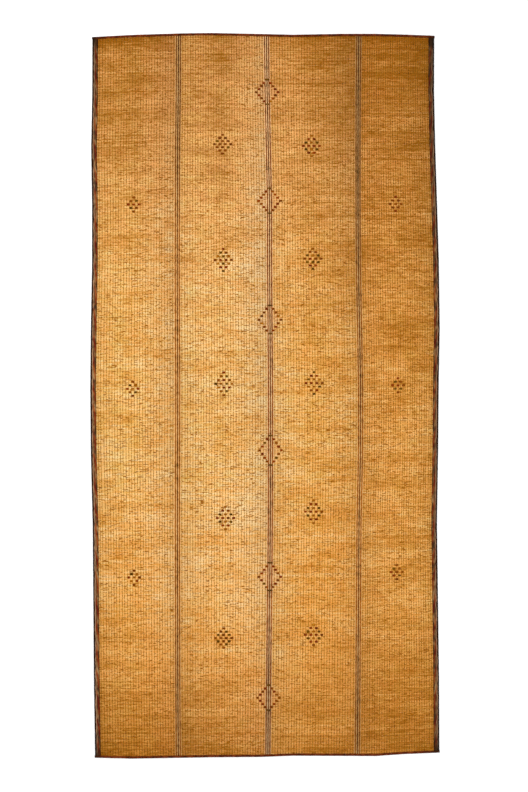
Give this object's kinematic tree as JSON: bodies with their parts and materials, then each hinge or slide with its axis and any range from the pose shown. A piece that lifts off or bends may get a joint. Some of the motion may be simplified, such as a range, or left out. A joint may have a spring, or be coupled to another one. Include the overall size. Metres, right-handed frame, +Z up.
{
  "type": "tuareg mat",
  "caption": "Long reed and leather floor mat: golden reeds bound by brown thongs, laced seams between panels, small diamond motifs and folded leather bindings.",
  "frame": {"origin": "on the floor, under the middle of the mat's bounding box", "axes": "+X across the mat, +Y along it towards its head, +Z up off the floor"},
  "size_m": [2.026, 4.208, 0.0077],
  "materials": {
    "reed_matting": "satin golden reed with darker streaks",
    "seam_leather": "worn matt leather over reed",
    "dyed_thong": "dyed leather, red-brown to dark green-brown, matt",
    "binding_leather": "dark brown leather, worn, low sheen",
    "red_lacing": "red and brown leather strands, slightly shiny"
  },
  "bodies": {
    "root": {"reed_panel_left_outer": "reed_matting", "reed_panel_left_inner": "reed_matting", "reed_panel_right_inner": "reed_matting", "reed_panel_right_outer": "reed_matting", "seam_band_left": "seam_leather", "seam_thong_left_1": "dyed_thong", "seam_thong_left_2": "dyed_thong", "seam_thong_left_3": "dyed_thong", "seam_band_centre": "seam_leather", "seam_thong_centre_1": "dyed_thong", "seam_thong_centre_2": "dyed_thong", "seam_thong_centre_3": "dyed_thong", "seam_band_right": "seam_leather", "seam_thong_right_1": "dyed_thong", "seam_thong_right_2": "dyed_thong", "seam_thong_right_3": "dyed_thong", "side_binding_left": "binding_leather", "binding_lacing_left": "red_lacing", "side_binding_right": "binding_leather", "binding_lacing_right": "red_lacing", "end_binding_head": "binding_leather", "end_binding_foot": "binding_leather", "seam_bar_01": "dyed_thong", "seam_bar_02": "dyed_thong", "seam_bar_03": "dyed_thong", "seam_bar_04": "dyed_thong", "seam_bar_05": "dyed_thong", "seam_bar_06": "dyed_thong", "seam_bar_07": "dyed_thong", "seam_bar_08": "dyed_thong", "seam_bar_09": "dyed_thong", "seam_bar_10": "dyed_thong", "seam_bar_11": "dyed_thong", "seam_bar_12": "dyed_thong"}
  },
  "joints": []
}
